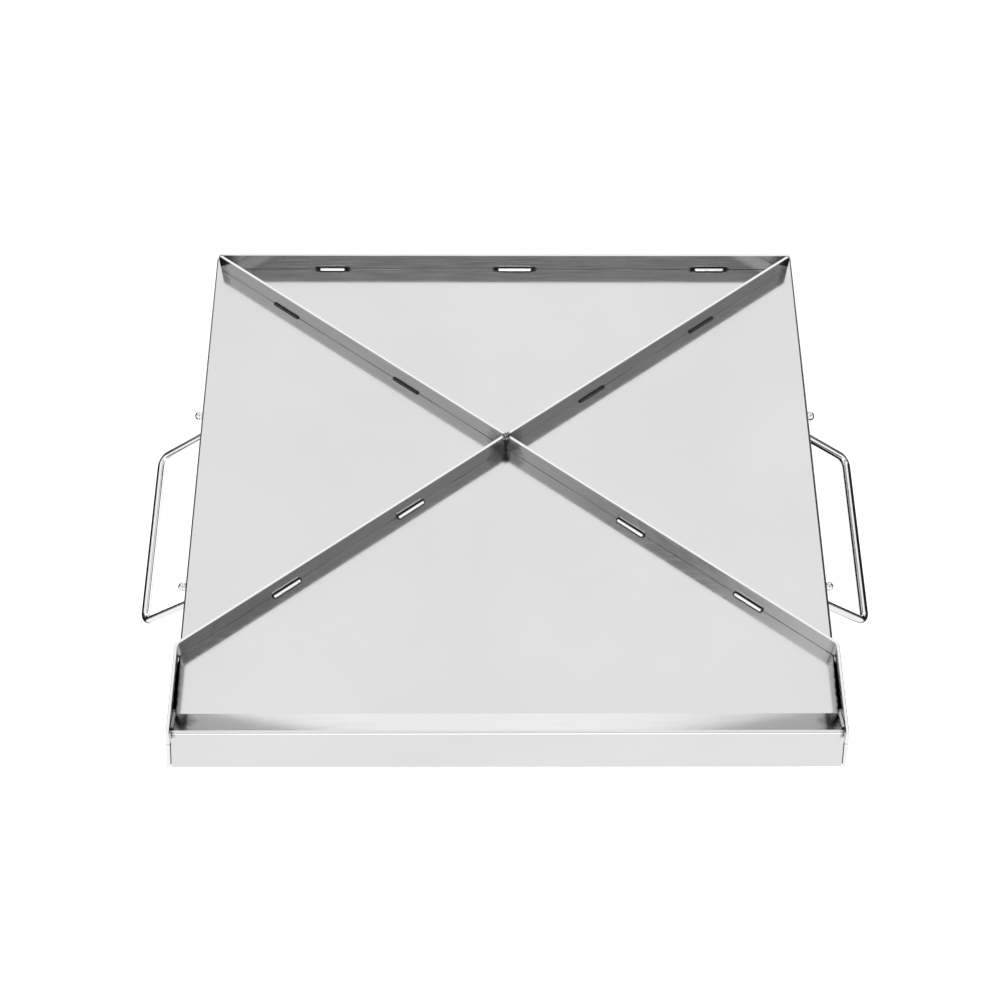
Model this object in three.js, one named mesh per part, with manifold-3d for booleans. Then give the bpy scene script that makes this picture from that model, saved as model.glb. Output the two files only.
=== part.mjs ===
// A steel griddle plate for a barbecue, standing upside down on its two wire handles.
// A folded pan carries a V-shaped grease trough along its front edge and an X of flat bars
// on its underside.  Millimetres, +X right, +Y back, +Z up.
import * as THREE from 'three';
import * as BufferGeometryUtils from 'three/addons/utils/BufferGeometryUtils.js';
import Module from 'manifold-3d';

// Sheet metal and bar stock
const sheet = 1.8;
const bar = 2.2;
const gap = 0.3;
const sheetBend = 1.2;

// Pan: the plate's underside is the plane Z = 0 while the pan is being laid out
const sideTop = 229.8;
const backFace = 224.5;
const frontFace = -192.3;
const rampStart = -170;
const wallDrop = 42;
const flare = THREE.MathUtils.degToRad(8.2);

// Plates that close the trough's ends: they lap outside the side walls and stand as tall as the ridge
const endPlateTop = 232.7;
const endPlateBack = -129.3;

// Bracing bars, all as tall as the trough
const braceHeight = 17.5;
const hub = new THREE.Vector2(0, 46);
const rearBraceFront = 212.5;
const rearBraceHalf = 225;
const rearArmEnd = new THREE.Vector2(224.4, rearBraceFront);
const frontArmCorner = new THREE.Vector2(229.1, -124.7);
const frontArmBend = 6;

// Wire handles: spans are measured along Y, between the centres of the two legs, and the grip is
// a little further forward than the pins
const wireRadius = 3;
const holeRadius = 4;
const handleCentre = 13;
const pinDrop = 21;
const pinReach = 239;
const pinSpan = 148;
const gripReach = 273.6;
const gripSpan = 145;
const gripShift = -1;
const legSlope = THREE.MathUtils.degToRad(42);
const pinBend = 4.5;
const rimBend = 6;
const gripBend = 8;

// Weld beads
const beadLeg = 2.9;
const stitchLength = 25;
const rearBraceStitches = {
  left: { x: -137, length: 22 },
  middle: { x: 8, length: 28.5 },
  right: { x: 163, length: 25 },
};
// Each arm has two stitches, at these fractions of its length from the hub
const armStitches = {
  rear_left: { inner: 0.336, outer: 0.76 },
  rear_right: { inner: 0.29, outer: 0.68 },
  front_left: { inner: 0.31, outer: 0.69 },
  front_right: { inner: 0.4, outer: 0.755 },
};

// Faceting
const bendSteps = 5;
const wireSides = 12;
const holeSides = 32;

const sheetColour = 0xdfe1e3;
const barColour = 0xb9bcbf;
const wireColour = 0xe6e8ea;
const weldColour = 0x9a9c9e;

const wasm = await Module();
wasm.setup();

// The ramp leaves the plate and runs tangent to the ridge's bend, whose top is at brace height
const ridgeOut = rampStart - (frontFace + sheet / 2 + sheetBend);
const ridgeUp = braceHeight - sheetBend;
const rampAngle = Math.atan2(ridgeUp, ridgeOut) + Math.asin(sheetBend / Math.hypot(ridgeOut, ridgeUp));

// Outer face of a side wall at a height below the plate, and its inner face
const wallOuter = (z) => sideTop - z * Math.tan(flare);
const wallInner = (z) => wallOuter(z) - sheet / Math.cos(flare);

// The same for an end plate
const endPlateOuter = (z) => endPlateTop - z * Math.tan(flare);
const endPlateInner = (z) => endPlateOuter(z) - bar / Math.cos(flare);

function point(x, y, z = 0) {
  return new THREE.Vector3(x, y, z);
}

function toSolid(geometry) {
  const merged = geometry.clone();
  merged.deleteAttribute('normal');
  merged.deleteAttribute('uv');
  const welded = BufferGeometryUtils.mergeVertices(merged);
  return new wasm.Manifold(new wasm.Mesh({
    numProp: 3,
    vertProperties: new Float32Array(welded.attributes.position.array),
    triVerts: new Uint32Array(welded.index.array),
  }));
}

function toGeometry(solid) {
  const mesh = solid.getMesh();
  const geometry = new THREE.BufferGeometry();
  geometry.setAttribute('position', new THREE.BufferAttribute(mesh.vertProperties, 3));
  geometry.setIndex(new THREE.BufferAttribute(mesh.triVerts, 1));
  geometry.computeVertexNormals();
  return geometry;
}

function joined(solids) {
  return solids.reduce((whole, solid) => whole.add(solid));
}

function boxBetween(low, high) {
  const size = high.clone().sub(low);
  const middle = low.clone().add(high).multiplyScalar(0.5);
  return new THREE.BoxGeometry(size.x, size.y, size.z).translate(middle.x, middle.y, middle.z);
}

// Stations along a path with rounded corners: each holds a point and the direction of travel
function roundedPath(corners, radii) {
  const heading = (i) => corners[i + 1].clone().sub(corners[i]).normalize();
  const last = corners.length - 1;
  const stations = [{ point: corners[0], heading: heading(0) }];
  for (let i = 1; i < last; i++) {
    const before = heading(i - 1);
    const after = heading(i);
    const turn = before.angleTo(after);
    const radius = radii[i - 1];
    const start = corners[i].clone().addScaledVector(before, -radius * Math.tan(turn / 2));
    const inward = after.clone().sub(before).normalize();
    const centre = corners[i].clone().addScaledVector(inward, radius / Math.cos(turn / 2));
    const axis = before.clone().cross(after).normalize();
    for (let step = 0; step <= bendSteps; step++) {
      const angle = turn * step / bendSteps;
      stations.push({
        point: start.clone().sub(centre).applyAxisAngle(axis, angle).add(centre),
        heading: before.clone().applyAxisAngle(axis, angle),
      });
    }
  }
  stations.push({ point: corners[last], heading: heading(last - 1) });
  return stations;
}

// The edge-on outline of a bent strip whose mid-thickness follows the stations
function stripOutline(stations, thickness) {
  const side = (offset) => stations.map((station) => new THREE.Vector2(
    station.point.x - station.heading.y * offset,
    station.point.y + station.heading.x * offset,
  ));
  return new THREE.Shape([...side(-thickness / 2), ...side(thickness / 2).reverse()]);
}

function outlineOf(points) {
  return new THREE.Shape(points.map(([x, y]) => new THREE.Vector2(x, y)));
}

// Extrudes an outline drawn in the plane of `across` and `up`, from `start` along their normal
function prism(outline, length, across, up, start) {
  const along = across.clone().cross(up).normalize();
  const geometry = new THREE.ExtrudeGeometry(outline, { depth: length, bevelEnabled: false });
  geometry.applyMatrix4(new THREE.Matrix4().makeBasis(across, up, along).setPosition(start));
  return geometry;
}

const axisX = point(1, 0, 0);
const axisY = point(0, 1, 0);
const axisZ = point(0, 0, 1);

// A YZ outline extruded along +X
function alongX(outline, from, to) {
  return prism(outline, to - from, axisY, axisZ, point(from, 0, 0));
}

// An XZ outline extruded along +Y: the outline's x is mirrored by the handedness of the axes
function alongY(points, from, to) {
  const mirrored = outlineOf(points.map(([x, z]) => [-x, z]));
  return prism(mirrored, to - from, axisX.clone().negate(), axisZ, point(0, from, 0));
}

// Sections perpendicular to the path exactly at its stations
class StationPath extends THREE.Curve {
  constructor(stations) {
    super();
    this.stations = stations;
  }

  stationAt(u) {
    return this.stations[Math.round(u * (this.stations.length - 1))];
  }

  getPointAt(u, target = new THREE.Vector3()) {
    return target.copy(this.stationAt(u).point);
  }

  getTangentAt(u, target = new THREE.Vector3()) {
    return target.copy(this.stationAt(u).heading);
  }
}

// Rear wall, plate, trough ramp and front wall: one sheet with three bends
function deckSheet() {
  const half = sheet / 2;
  const stations = roundedPath([
    point(backFace - half, -wallDrop),
    point(backFace - half, -half),
    point(rampStart, -half),
    point(frontFace + half, (rampStart - frontFace - half) * Math.tan(rampAngle) - half),
    point(frontFace + half, -wallDrop),
  ], [sheetBend, sheetBend, sheetBend]);
  const wide = endPlateOuter(-wallDrop);
  const blank = toSolid(alongX(stripOutline(stations, sheet), -wide, wide));
  const between = (face, top, from, to) => toSolid(alongY([
    [-face(-wallDrop) + gap, -wallDrop],
    [face(-wallDrop) - gap, -wallDrop],
    [face(top) - gap, top],
    [-face(top) + gap, top],
  ], from, to));
  const reach = joined([
    between(wallInner, 0, rampStart, backFace),
    between(endPlateInner, braceHeight, frontFace, rampStart),
  ]);
  return toGeometry(blank.intersect(reach));
}

// A side wall, flared outwards, with a rounded top edge and two holes for the handle's pins.
// It stops where the ramp starts; the end plate closes the pan from there to the front wall
function sidePanel(side) {
  const rounding = [];
  for (let step = 0; step <= bendSteps; step++) {
    const angle = (Math.PI / 2) * (1 - step / bendSteps);
    const radius = sheet * 0.9;
    rounding.push([
      side * (sideTop - radius + radius * Math.cos(angle)),
      -radius + radius * Math.sin(angle),
    ]);
  }
  const outline = [
    [side * wallInner(0), 0],
    ...rounding,
    [side * wallOuter(-wallDrop), -wallDrop],
    [side * wallInner(-wallDrop), -wallDrop],
  ];
  let solid = toSolid(alongY(outline, rampStart + gap, backFace));
  for (const end of [-1, 1]) {
    const hole = new THREE.CylinderGeometry(holeRadius, holeRadius, 12, holeSides);
    hole.rotateZ(Math.PI / 2);
    hole.translate(side * wallOuter(-pinDrop), handleCentre + end * pinSpan / 2, -pinDrop);
    solid = solid.subtract(toSolid(hole));
  }
  return toGeometry(solid);
}

// The plate that closes one end of the trough, from its ridge down to the rim
function endPlate(side) {
  return alongY([
    [side * endPlateInner(-wallDrop), -wallDrop],
    [side * endPlateOuter(-wallDrop), -wallDrop],
    [side * endPlateOuter(braceHeight), braceHeight],
    [side * endPlateInner(braceHeight), braceHeight],
  ], frontFace, endPlateBack);
}

// Straight bar across the back of the plate
function rearBrace() {
  return boxBetween(
    point(-rearBraceHalf, rearBraceFront, gap),
    point(rearBraceHalf, rearBraceFront + bar, braceHeight),
  );
}

// An upright bar following a path on the plate, trimmed to one quarter of the X
function armBar(stations, side, end, limit) {
  const outline = stripOutline(stations, bar);
  const whole = prism(outline, braceHeight - gap, axisX, axisY, point(0, 0, gap));
  const nearX = side * gap / 2;
  const farX = side * 300;
  const nearY = hub.y + end * gap / 2;
  const quarter = boxBetween(
    point(Math.min(nearX, farX), Math.min(nearY, limit), -1),
    point(Math.max(nearX, farX), Math.max(nearY, limit), braceHeight + 1),
  );
  return toGeometry(toSolid(whole).intersect(toSolid(quarter)));
}

function rearArm(side) {
  const overrun = 1.1;
  const inner = point(-side * 3, hub.y - 3 * (rearArmEnd.y - hub.y) / rearArmEnd.x);
  const outer = point(
    side * rearArmEnd.x * overrun,
    hub.y + (rearArmEnd.y - hub.y) * overrun,
  );
  return armBar(roundedPath([inner, outer], []), side, 1, rearBraceFront - gap);
}

// The front arm turns at the plate's edge and meets the end plate, its top edge in line with it
function frontArm(side) {
  const fall = (hub.y - frontArmCorner.y) / frontArmCorner.x;
  const inner = point(-side * 3, hub.y + 3 * fall);
  const corner = point(side * frontArmCorner.x, frontArmCorner.y);
  const tip = point(corner.x, frontFace);
  return armBar(roundedPath([inner, corner, tip], [frontArmBend]), side, -1, endPlateBack + gap);
}

// A bent wire: pin, leg down the inside of the wall, leg out under the rim, and the grip
function handle(side) {
  const legGap = wireRadius + gap;
  const pinX = wallInner(-pinDrop) - legGap / Math.cos(flare);
  const rimX = wallOuter(-wallDrop);
  const legDown = point(Math.sin(flare), 0, -Math.cos(flare));
  const legOut = point(Math.cos(legSlope), 0, -Math.sin(legSlope));
  const underRim = point(
    rimX - legGap * Math.sin(legSlope),
    0,
    -wallDrop - legGap * Math.cos(legSlope),
  );
  const kneeDrop = rimBend * 0.3;
  const run = ((underRim.x - pinX) * legOut.z - (underRim.z - kneeDrop + pinDrop) * legOut.x)
    / (legDown.x * legOut.z - legDown.z * legOut.x);
  const kneeX = pinX + run * legDown.x;
  const kneeZ = -pinDrop + run * legDown.z;
  const gripZ = underRim.z + (gripReach - underRim.x) * legOut.z / legOut.x;
  const legLength = Math.hypot(gripReach - kneeX, gripZ - kneeZ);
  const atKnee = run / (run + legLength);
  // A leg's place along Y, at a share of the way from its pin to the grip
  const legY = (end, share) => handleCentre + share * gripShift
    + end * (pinSpan + share * (gripSpan - pinSpan)) / 2;
  const leg = (end) => [
    point(side * (pinReach - wireRadius), legY(end, 0), -pinDrop),
    point(side * pinX, legY(end, 0), -pinDrop),
    point(side * kneeX, legY(end, atKnee), kneeZ),
    point(side * gripReach, legY(end, 1), gripZ),
  ];
  const stations = roundedPath(
    [...leg(1), ...leg(-1).reverse()],
    [pinBend, rimBend, gripBend, gripBend, rimBend, pinBend],
  );
  const section = new THREE.Shape();
  section.absarc(0, 0, wireRadius, 0, 2 * Math.PI);
  const wire = new THREE.ExtrudeGeometry(section, {
    steps: stations.length - 1,
    curveSegments: wireSides,
    extrudePath: new StationPath(stations),
  });
  const domes = [1, -1].map((end) => {
    const dome = new THREE.SphereGeometry(wireRadius, wireSides, wireSides / 2);
    const tip = leg(end)[0];
    return toSolid(dome.translate(tip.x, tip.y, tip.z));
  });
  return toGeometry(joined([toSolid(wire), ...domes]));
}

// A fillet bead lying in the corner between two faces, from one point of the corner to another
function bead(from, to, faceOne, faceTwo, leg = beadLeg) {
  const forward = faceOne.clone().cross(faceTwo).dot(to.clone().sub(from)) > 0;
  const [across, up] = forward ? [faceOne, faceTwo] : [faceTwo, faceOne];
  const outline = [[gap, gap]];
  for (let step = 0; step <= bendSteps; step++) {
    const angle = (Math.PI / 2) * step / bendSteps;
    outline.push([gap + (leg - gap) * Math.cos(angle), gap + (leg - gap) * Math.sin(angle)]);
  }
  return prism(outlineOf(outline), from.distanceTo(to), across, up, from);
}

function rearBraceWeld({ x, length }) {
  return bead(
    point(x - length / 2, rearBraceFront),
    point(x + length / 2, rearBraceFront),
    point(0, -1, 0),
    axisZ,
  );
}

// A stitch on the front face of an arm
function armWeld(side, outerEnd, fraction) {
  const start = point(hub.x, hub.y);
  const reach = point(side * outerEnd.x, outerEnd.y).sub(start);
  const along = reach.clone().normalize();
  const facing = point(along.y, -along.x);
  if (facing.y > 0) {
    facing.negate();
  }
  const centre = start.addScaledVector(reach, fraction).addScaledVector(facing, bar / 2);
  return bead(
    centre.clone().addScaledVector(along, -stitchLength / 2),
    centre.clone().addScaledVector(along, stitchLength / 2),
    facing,
    axisZ,
  );
}

// The knot of weld standing in the front corner of the crossing
function hubWeld() {
  const spread = Math.atan2(hub.y - frontArmCorner.y, frontArmCorner.x);
  const tip = hub.y - (bar / 2 + gap) / Math.cos(spread);
  const depth = 2.6;
  const halfWidth = depth / Math.tan(spread);
  const outline = outlineOf([
    [0, tip],
    [-halfWidth, tip - depth],
    [-halfWidth * 0.4, tip - depth * 1.25],
    [halfWidth * 0.4, tip - depth * 1.25],
    [halfWidth, tip - depth],
  ]);
  return prism(outline, braceHeight - 2 * gap, axisX, axisY, point(0, 0, gap));
}

// The bead along the end of the trough's ramp, in the corner between the ramp and the end plate
function troughEndWeld(side) {
  const rampNormal = point(0, Math.sin(rampAngle), Math.cos(rampAngle));
  const plateNormal = point(-side * Math.cos(flare), 0, -Math.sin(flare));
  const seam = rampNormal.clone().cross(plateNormal).normalize();
  const along = seam.z > 0 ? seam : seam.negate();
  const across = along.clone().cross(rampNormal);
  const up = plateNormal.clone().cross(along);
  const foot = point(
    side * endPlateInner(0),
    rampStart + sheet / 2 * Math.tan(rampAngle / 2),
  );
  return bead(
    foot.clone().addScaledVector(along, sheetBend),
    foot.clone().addScaledVector(along, (braceHeight - beadLeg) / along.z),
    across.x * side < 0 ? across : across.negate(),
    up.dot(rampNormal) > 0 ? up : up.negate(),
  );
}

// A bead up the inside of one corner of the pan
function cornerWeld(side, end) {
  const face = end > 0 ? backFace - sheet : frontFace + sheet;
  const inner = end > 0 ? wallInner : endPlateInner;
  const low = -wallDrop + 1;
  const high = -sheet - 2 * sheetBend;
  return bead(
    point(side * inner(low), face, low),
    point(side * inner(high), face, high),
    point(-side * Math.cos(flare), 0, -Math.sin(flare)),
    point(0, -end, 0),
    beadLeg * 0.8,
  );
}

const griddle = new THREE.Group();
// Standing height: the underside of the grips is at Z = 0, and the pan is centred over it
const legRun = gripReach - (wallOuter(-wallDrop) - (wireRadius + gap) * Math.sin(legSlope));
const gripDrop = wallDrop + (wireRadius + gap) * Math.cos(legSlope) + legRun * Math.tan(legSlope);
griddle.position.set(0, -(backFace + frontFace) / 2, gripDrop + wireRadius);

function addPiece(name, geometry, colour, roughness) {
  const material = new THREE.MeshStandardMaterial({ color: colour, roughness, metalness: 1 });
  const mesh = new THREE.Mesh(geometry, material);
  mesh.name = name;
  griddle.add(mesh);
}

addPiece('deck_sheet', deckSheet(), sheetColour, 0.3);
addPiece('rear_brace', rearBrace(), barColour, 0.35);
addPiece('hub_weld', hubWeld(), weldColour, 0.5);
for (const [place, stitch] of Object.entries(rearBraceStitches)) {
  addPiece(`rear_brace_weld_${place}`, rearBraceWeld(stitch), weldColour, 0.5);
}

for (const [hand, side] of [['left', -1], ['right', 1]]) {
  addPiece(`side_panel_${hand}`, sidePanel(side), sheetColour, 0.3);
  addPiece(`rear_${hand}_arm`, rearArm(side), barColour, 0.35);
  addPiece(`front_${hand}_arm`, frontArm(side), barColour, 0.35);
  addPiece(`trough_end_plate_${hand}`, endPlate(side), barColour, 0.35);
  addPiece(`handle_${hand}`, handle(side), wireColour, 0.12);
  addPiece(`trough_end_weld_${hand}`, troughEndWeld(side), weldColour, 0.5);
  for (const [row, end, outerEnd] of [['rear', 1, rearArmEnd], ['front', -1, frontArmCorner]]) {
    addPiece(`${row}_${hand}_corner_weld`, cornerWeld(side, end), weldColour, 0.5);
    for (const [place, fraction] of Object.entries(armStitches[`${row}_${hand}`])) {
      const weld = armWeld(side, outerEnd, fraction);
      addPiece(`${row}_${hand}_arm_weld_${place}`, weld, weldColour, 0.5);
    }
  }
}

export default griddle;
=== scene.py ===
"""A stainless steel griddle plate standing underside up on its two wire handles.

Everything is in metres, in the row frame: +X right, +Y back, +Z up.
"""

import math

import bmesh
import bpy
from mathutils import Matrix, Vector, noise


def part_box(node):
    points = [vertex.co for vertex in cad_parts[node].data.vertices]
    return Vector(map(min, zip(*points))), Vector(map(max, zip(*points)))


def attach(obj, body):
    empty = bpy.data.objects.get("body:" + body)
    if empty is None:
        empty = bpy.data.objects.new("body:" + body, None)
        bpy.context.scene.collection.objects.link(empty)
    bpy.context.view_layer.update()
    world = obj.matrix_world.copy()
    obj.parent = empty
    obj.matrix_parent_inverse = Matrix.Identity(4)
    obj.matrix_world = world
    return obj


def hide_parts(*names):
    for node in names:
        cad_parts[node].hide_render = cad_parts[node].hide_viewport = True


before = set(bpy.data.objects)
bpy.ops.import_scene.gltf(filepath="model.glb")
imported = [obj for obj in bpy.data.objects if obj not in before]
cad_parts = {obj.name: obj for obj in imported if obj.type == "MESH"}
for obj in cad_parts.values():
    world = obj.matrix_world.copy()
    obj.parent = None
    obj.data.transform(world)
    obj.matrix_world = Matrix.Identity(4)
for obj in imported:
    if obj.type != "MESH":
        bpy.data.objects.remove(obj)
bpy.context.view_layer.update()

MM = 0.001

# Sheet and bar stock, and the gap that the CAD model leaves between its pieces
SHEET = 1.8 * MM
BAR = 2.2 * MM
GAP = 0.3 * MM
SHEET_BEND = 1.2 * MM
EDGE_ROUNDING = 0.35 * MM
EDGE_ANGLE = math.radians(35)
SAME_SPOT = 0.002 * MM
FLARE = math.radians(8.2)

# The trough: its ramp's run, and what is left between the sheet and the end plates
RAMP_RUN = 22.3 * MM
RIDGE_CLEARANCE = 0.6 * GAP
SEAM = 1.3 * MM
WALL_CONTACT = 0.05 * MM

# The crossing and the front arms
HUB_FROM_REAR_BRACE = 166.5 * MM
FRONT_ARM_FALL = 170.7 * MM
FRONT_ARM_BEND = 6 * MM
FRONT_ARM_BEND_STEPS = 14

# The handles, their pins and the pins' holes
WIRE_RADIUS = 3.0 * MM
WIRE_SIDES = 32
HOLE_RADIUS = 4.15 * MM
HOLE_SIDES = 64
HOLE_CUTTER_LENGTH = 12 * MM
PIN_PROUD = 6.2 * MM
PIN_HEAD_RADIUS = 3.5 * MM
PIN_NECK = 3.5 * MM
# Distance behind a pin's end, and the head's share of its full swelling there
PIN_SWELL = [(1.1 * MM, 0.0), (0.6 * MM, 0.5), (0.25 * MM, 0.9)]
PIN_DOME_STEPS = 8
GRIP_SPAN = 145 * MM
GRIP_SHIFT = -1 * MM
PIN_BEND = 4.5 * MM
RIM_BEND = 6.0 * MM
KNEE_DROP = 1.8 * MM
GRIP_BEND = 8.0 * MM
WIRE_BEND_STEPS = 12

# Weld beads: the legs of their cross-sections, and the ripples along them
BEAD_LEG = 2.9 * MM
REAR_ARM_BEAD_LEG = 0.6 * BEAD_LEG
CORNER_BEAD_LEG = 0.8 * BEAD_LEG
HUB_BEAD_LEG = 0.4 * BEAD_LEG
BEAD_ARC_STEPS = 12
RIPPLE_PITCH = 1.7 * MM
RIPPLE_STEPS = 5
RIPPLE_CURVE = 0.5
# Shares of a bead's leg: how deep it is hollowed, its ripples, its wander and its tapering ends
BEAD_HOLLOW = 0.16
RIPPLE_HEIGHT = 0.07
BEAD_WANDER = 0.1
BEAD_WANDER_LENGTH = 4 * MM
BEAD_TAPER = 0.8
BEAD_LEAST_TAPER = 0.02
# Where across a bead its dark outline ends, how softly, and how far it reaches at the ends
OUTLINE_START = 0.62
OUTLINE_FADE = 0.22
OUTLINE_END = 1 * MM

# The trough's end beads start on the plate and turn onto the ramp
LEAD_IN = 4 * MM
LEAD_IN_BEND = 3 * MM

# The knot of weld on top of the crossing
KNOT_SIZE = Vector((3.4, 2.7, 1.5)) * MM
KNOT_FORWARD = 0.8 * MM
KNOT_SINK = 1.5 * MM
KNOT_DETAIL = 5
KNOT_LUMPS = 0.5
KNOT_LUMP_SCALE = 2.1
KNOT_MOTTLE_SCALE = 900
KNOT_MOTTLE_CONTRAST = 2.2

# Places taken from the frame
panel_low, panel_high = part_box("side_panel_right")
brace_low, brace_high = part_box("rear_brace")
end_low, end_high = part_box("trough_end_plate_right")
PLATE_Z = panel_high.z
RIM_Z = panel_low.z
FRONT_Y = end_low.y
BACK_Y = panel_high.y
RIM_X = panel_high.x
SIDE_X = RIM_X - (PLATE_Z - RIM_Z) * math.tan(FLARE)
RIDGE_Z = brace_high.z
HUB_Y = brace_low.y - HUB_FROM_REAR_BRACE
RAMP_START = FRONT_Y + RAMP_RUN
END_BACK_Y = end_high.y
END_TOP_X = end_high.x - (RIDGE_Z - RIM_Z) * math.tan(FLARE) - BAR / 2
HANDS = {"left": -1, "right": 1}

AXIS_X = Vector((1, 0, 0))
AXIS_Y = Vector((0, 1, 0))
AXIS_Z = Vector((0, 0, 1))


def wall_outer(z):
    """Outer face of a side wall at a height."""
    return SIDE_X + (PLATE_Z - z) * math.tan(FLARE)


def wall_inner(z):
    """Inner face of a side wall at a height."""
    return wall_outer(z) - SHEET / math.cos(FLARE)


def end_inner(z):
    """Inner face of the plate that closes the trough's end, at a height."""
    return END_TOP_X - BAR / 2 + (RIDGE_Z - z) * math.tan(FLARE)


# ---------------------------------------------------------------- shapes


def rounded_path(corners, radii, steps=8):
    """Stations (point, heading) along a polyline whose inner corners are rounded."""
    headings = [(b - a).normalized() for a, b in zip(corners, corners[1:])]
    stations = [(corners[0].copy(), headings[0].copy())]
    for corner, before, after, radius in zip(corners[1:], headings, headings[1:], radii):
        turn = before.angle(after)
        start = corner - before * radius * math.tan(turn / 2)
        inward = (after - before).normalized()
        centre = corner + inward * radius / math.cos(turn / 2)
        axis = before.cross(after).normalized()
        for step in range(steps + 1):
            swing = Matrix.Rotation(turn * step / steps, 3, axis)
            stations.append((centre + swing @ (start - centre), swing @ before))
    stations.append((corners[-1].copy(), headings[-1].copy()))
    return stations


def placed(name, mesh):
    """An object in the scene with a smoothly shaded mesh."""
    mesh.polygons.foreach_set("use_smooth", [True] * len(mesh.polygons))
    obj = bpy.data.objects.new(name, mesh)
    bpy.context.scene.collection.objects.link(obj)
    return obj


def new_object(name, verts, faces):
    """An object made of vertices and faces, with its doubled vertices joined."""
    mesh = bpy.data.meshes.new(name)
    mesh.from_pydata([tuple(v) for v in verts], [], faces)
    shell = bmesh.new()
    shell.from_mesh(mesh)
    bmesh.ops.remove_doubles(shell, verts=shell.verts, dist=SAME_SPOT)
    bmesh.ops.recalc_face_normals(shell, faces=shell.faces)
    shell.to_mesh(mesh)
    shell.free()
    return placed(name, mesh)


def finished(obj, body, material, replaced):
    """Puts a piece on its body, with its finish, in place of its CAD nodes."""
    obj.data.materials.clear()
    obj.data.materials.append(material)
    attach(obj, body)
    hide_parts(*replaced)


def soften_edges(obj):
    """Small rounded edges, with flat faces kept flat in the shading."""
    bevel = obj.modifiers.new("edges", "BEVEL")
    bevel.width = EDGE_ROUNDING
    bevel.segments = 3
    bevel.limit_method = "ANGLE"
    bevel.angle_limit = EDGE_ANGLE
    bevel.use_clamp_overlap = True
    normals = obj.modifiers.new("normals", "WEIGHTED_NORMAL")
    normals.mode = "FACE_AREA"
    normals.weight = 100
    normals.keep_sharp = False


def apply_modifiers(obj):
    """Turns the object's modifiers into mesh."""
    graph = bpy.context.evaluated_depsgraph_get()
    mesh = bpy.data.meshes.new_from_object(obj.evaluated_get(graph), depsgraph=graph)
    obj.modifiers.clear()
    obj.data = mesh


def refined(node, name):
    """The CAD node's own shape with whole faces and rounded edges."""
    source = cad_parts[node].data
    shell = bmesh.new()
    shell.from_mesh(source)
    bmesh.ops.remove_doubles(shell, verts=shell.verts, dist=SAME_SPOT)
    bmesh.ops.dissolve_limit(
        shell, angle_limit=math.radians(1), verts=shell.verts, edges=shell.edges
    )
    mesh = bpy.data.meshes.new(name)
    shell.to_mesh(mesh)
    shell.free()
    obj = placed(name, mesh)
    soften_edges(obj)
    apply_modifiers(obj)
    return obj


def ridge_path():
    """The bent sheet's mid-thickness from the plate, over the trough's ridge, to the front rim."""
    half = SHEET / 2
    out = RAMP_START - (FRONT_Y + half + SHEET_BEND)
    up = RIDGE_Z - SHEET_BEND - PLATE_Z
    angle = math.atan2(up, out) + math.asin(SHEET_BEND / math.hypot(out, up))
    wall_y = FRONT_Y + half
    ridge_z = PLATE_Z - half + (RAMP_START - wall_y) * math.tan(angle)
    return [
        Vector((0, RAMP_START, PLATE_Z - half)),
        Vector((0, wall_y, ridge_z)),
        Vector((0, wall_y, RIM_Z)),
    ]


def pan_surface():
    """The pan's mid-thickness surface: plate, side walls, rear wall, ramp and front wall."""
    half = SHEET / 2
    verts = []
    faces = []

    def vertex(x, y, z):
        verts.append(Vector((x, y, z)))
        return len(verts) - 1

    def grid(rows):
        for near, far in zip(rows, rows[1:]):
            for a, b, c, d in zip(near, near[1:], far[1:], far):
                faces.append((a, b, c, d))

    # The side wall's profile, from the plate's edge down to the rim
    top_z = PLATE_Z - half
    mid_x = wall_outer(top_z) - half / math.cos(FLARE)
    rim_mid = wall_outer(RIM_Z) - half / math.cos(FLARE)
    turn = math.pi / 2 - FLARE
    edge_x = mid_x - SHEET_BEND * math.tan(turn / 2)
    side_profile = [
        p for p, _ in rounded_path(
            [Vector((0, 0, top_z)), Vector((mid_x, 0, top_z)), Vector((rim_mid, 0, RIM_Z))],
            [SHEET_BEND],
        )
    ][1:]

    # The plate and the rear bend
    ramp, ridge, rim = ridge_path()
    back_mid = BACK_Y - half
    rear = rounded_path(
        [ramp, Vector((0, back_mid, top_z)), Vector((0, back_mid, RIM_Z))], [SHEET_BEND]
    )
    rear_bend = [p for p, _ in rear[1:-1]]
    front = [p for p, _ in rounded_path(
        [rear_bend[0], ramp, ridge, rim], [SHEET_BEND, SHEET_BEND]
    )][1:]
    plate_front = front[0]
    main = [plate_front, *rear_bend]
    grid([[vertex(-edge_x, p.y, p.z), vertex(edge_x, p.y, p.z)] for p in main])

    # Ramp, ridge and front wall reach the end plates, beyond the plate's side bends
    strip = []
    for p in front:
        reach = end_inner(p.z) - (SEAM if p.y < FRONT_Y + SHEET else RIDGE_CLEARANCE)
        inner = min(edge_x, reach - SHEET)
        strip.append([vertex(x, p.y, p.z) for x in (-reach, -inner, inner, reach)])
    grid(strip)

    # Side walls: the rows that follow the rear bend are lowered onto it, which closes the corner
    last_rows = {}
    for side in HANDS.values():
        rows = [
            [vertex(side * p.x, y, min(p.z, level)) for p in side_profile]
            for y, level in [(plate_front.y, top_z), *[(p.y, p.z) for p in rear_bend]]
        ]
        grid(rows)
        last_rows[side] = rows[-1]
    faces.append((*last_rows[-1], *reversed(last_rows[1])))
    return new_object("pan", verts, faces)


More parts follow.
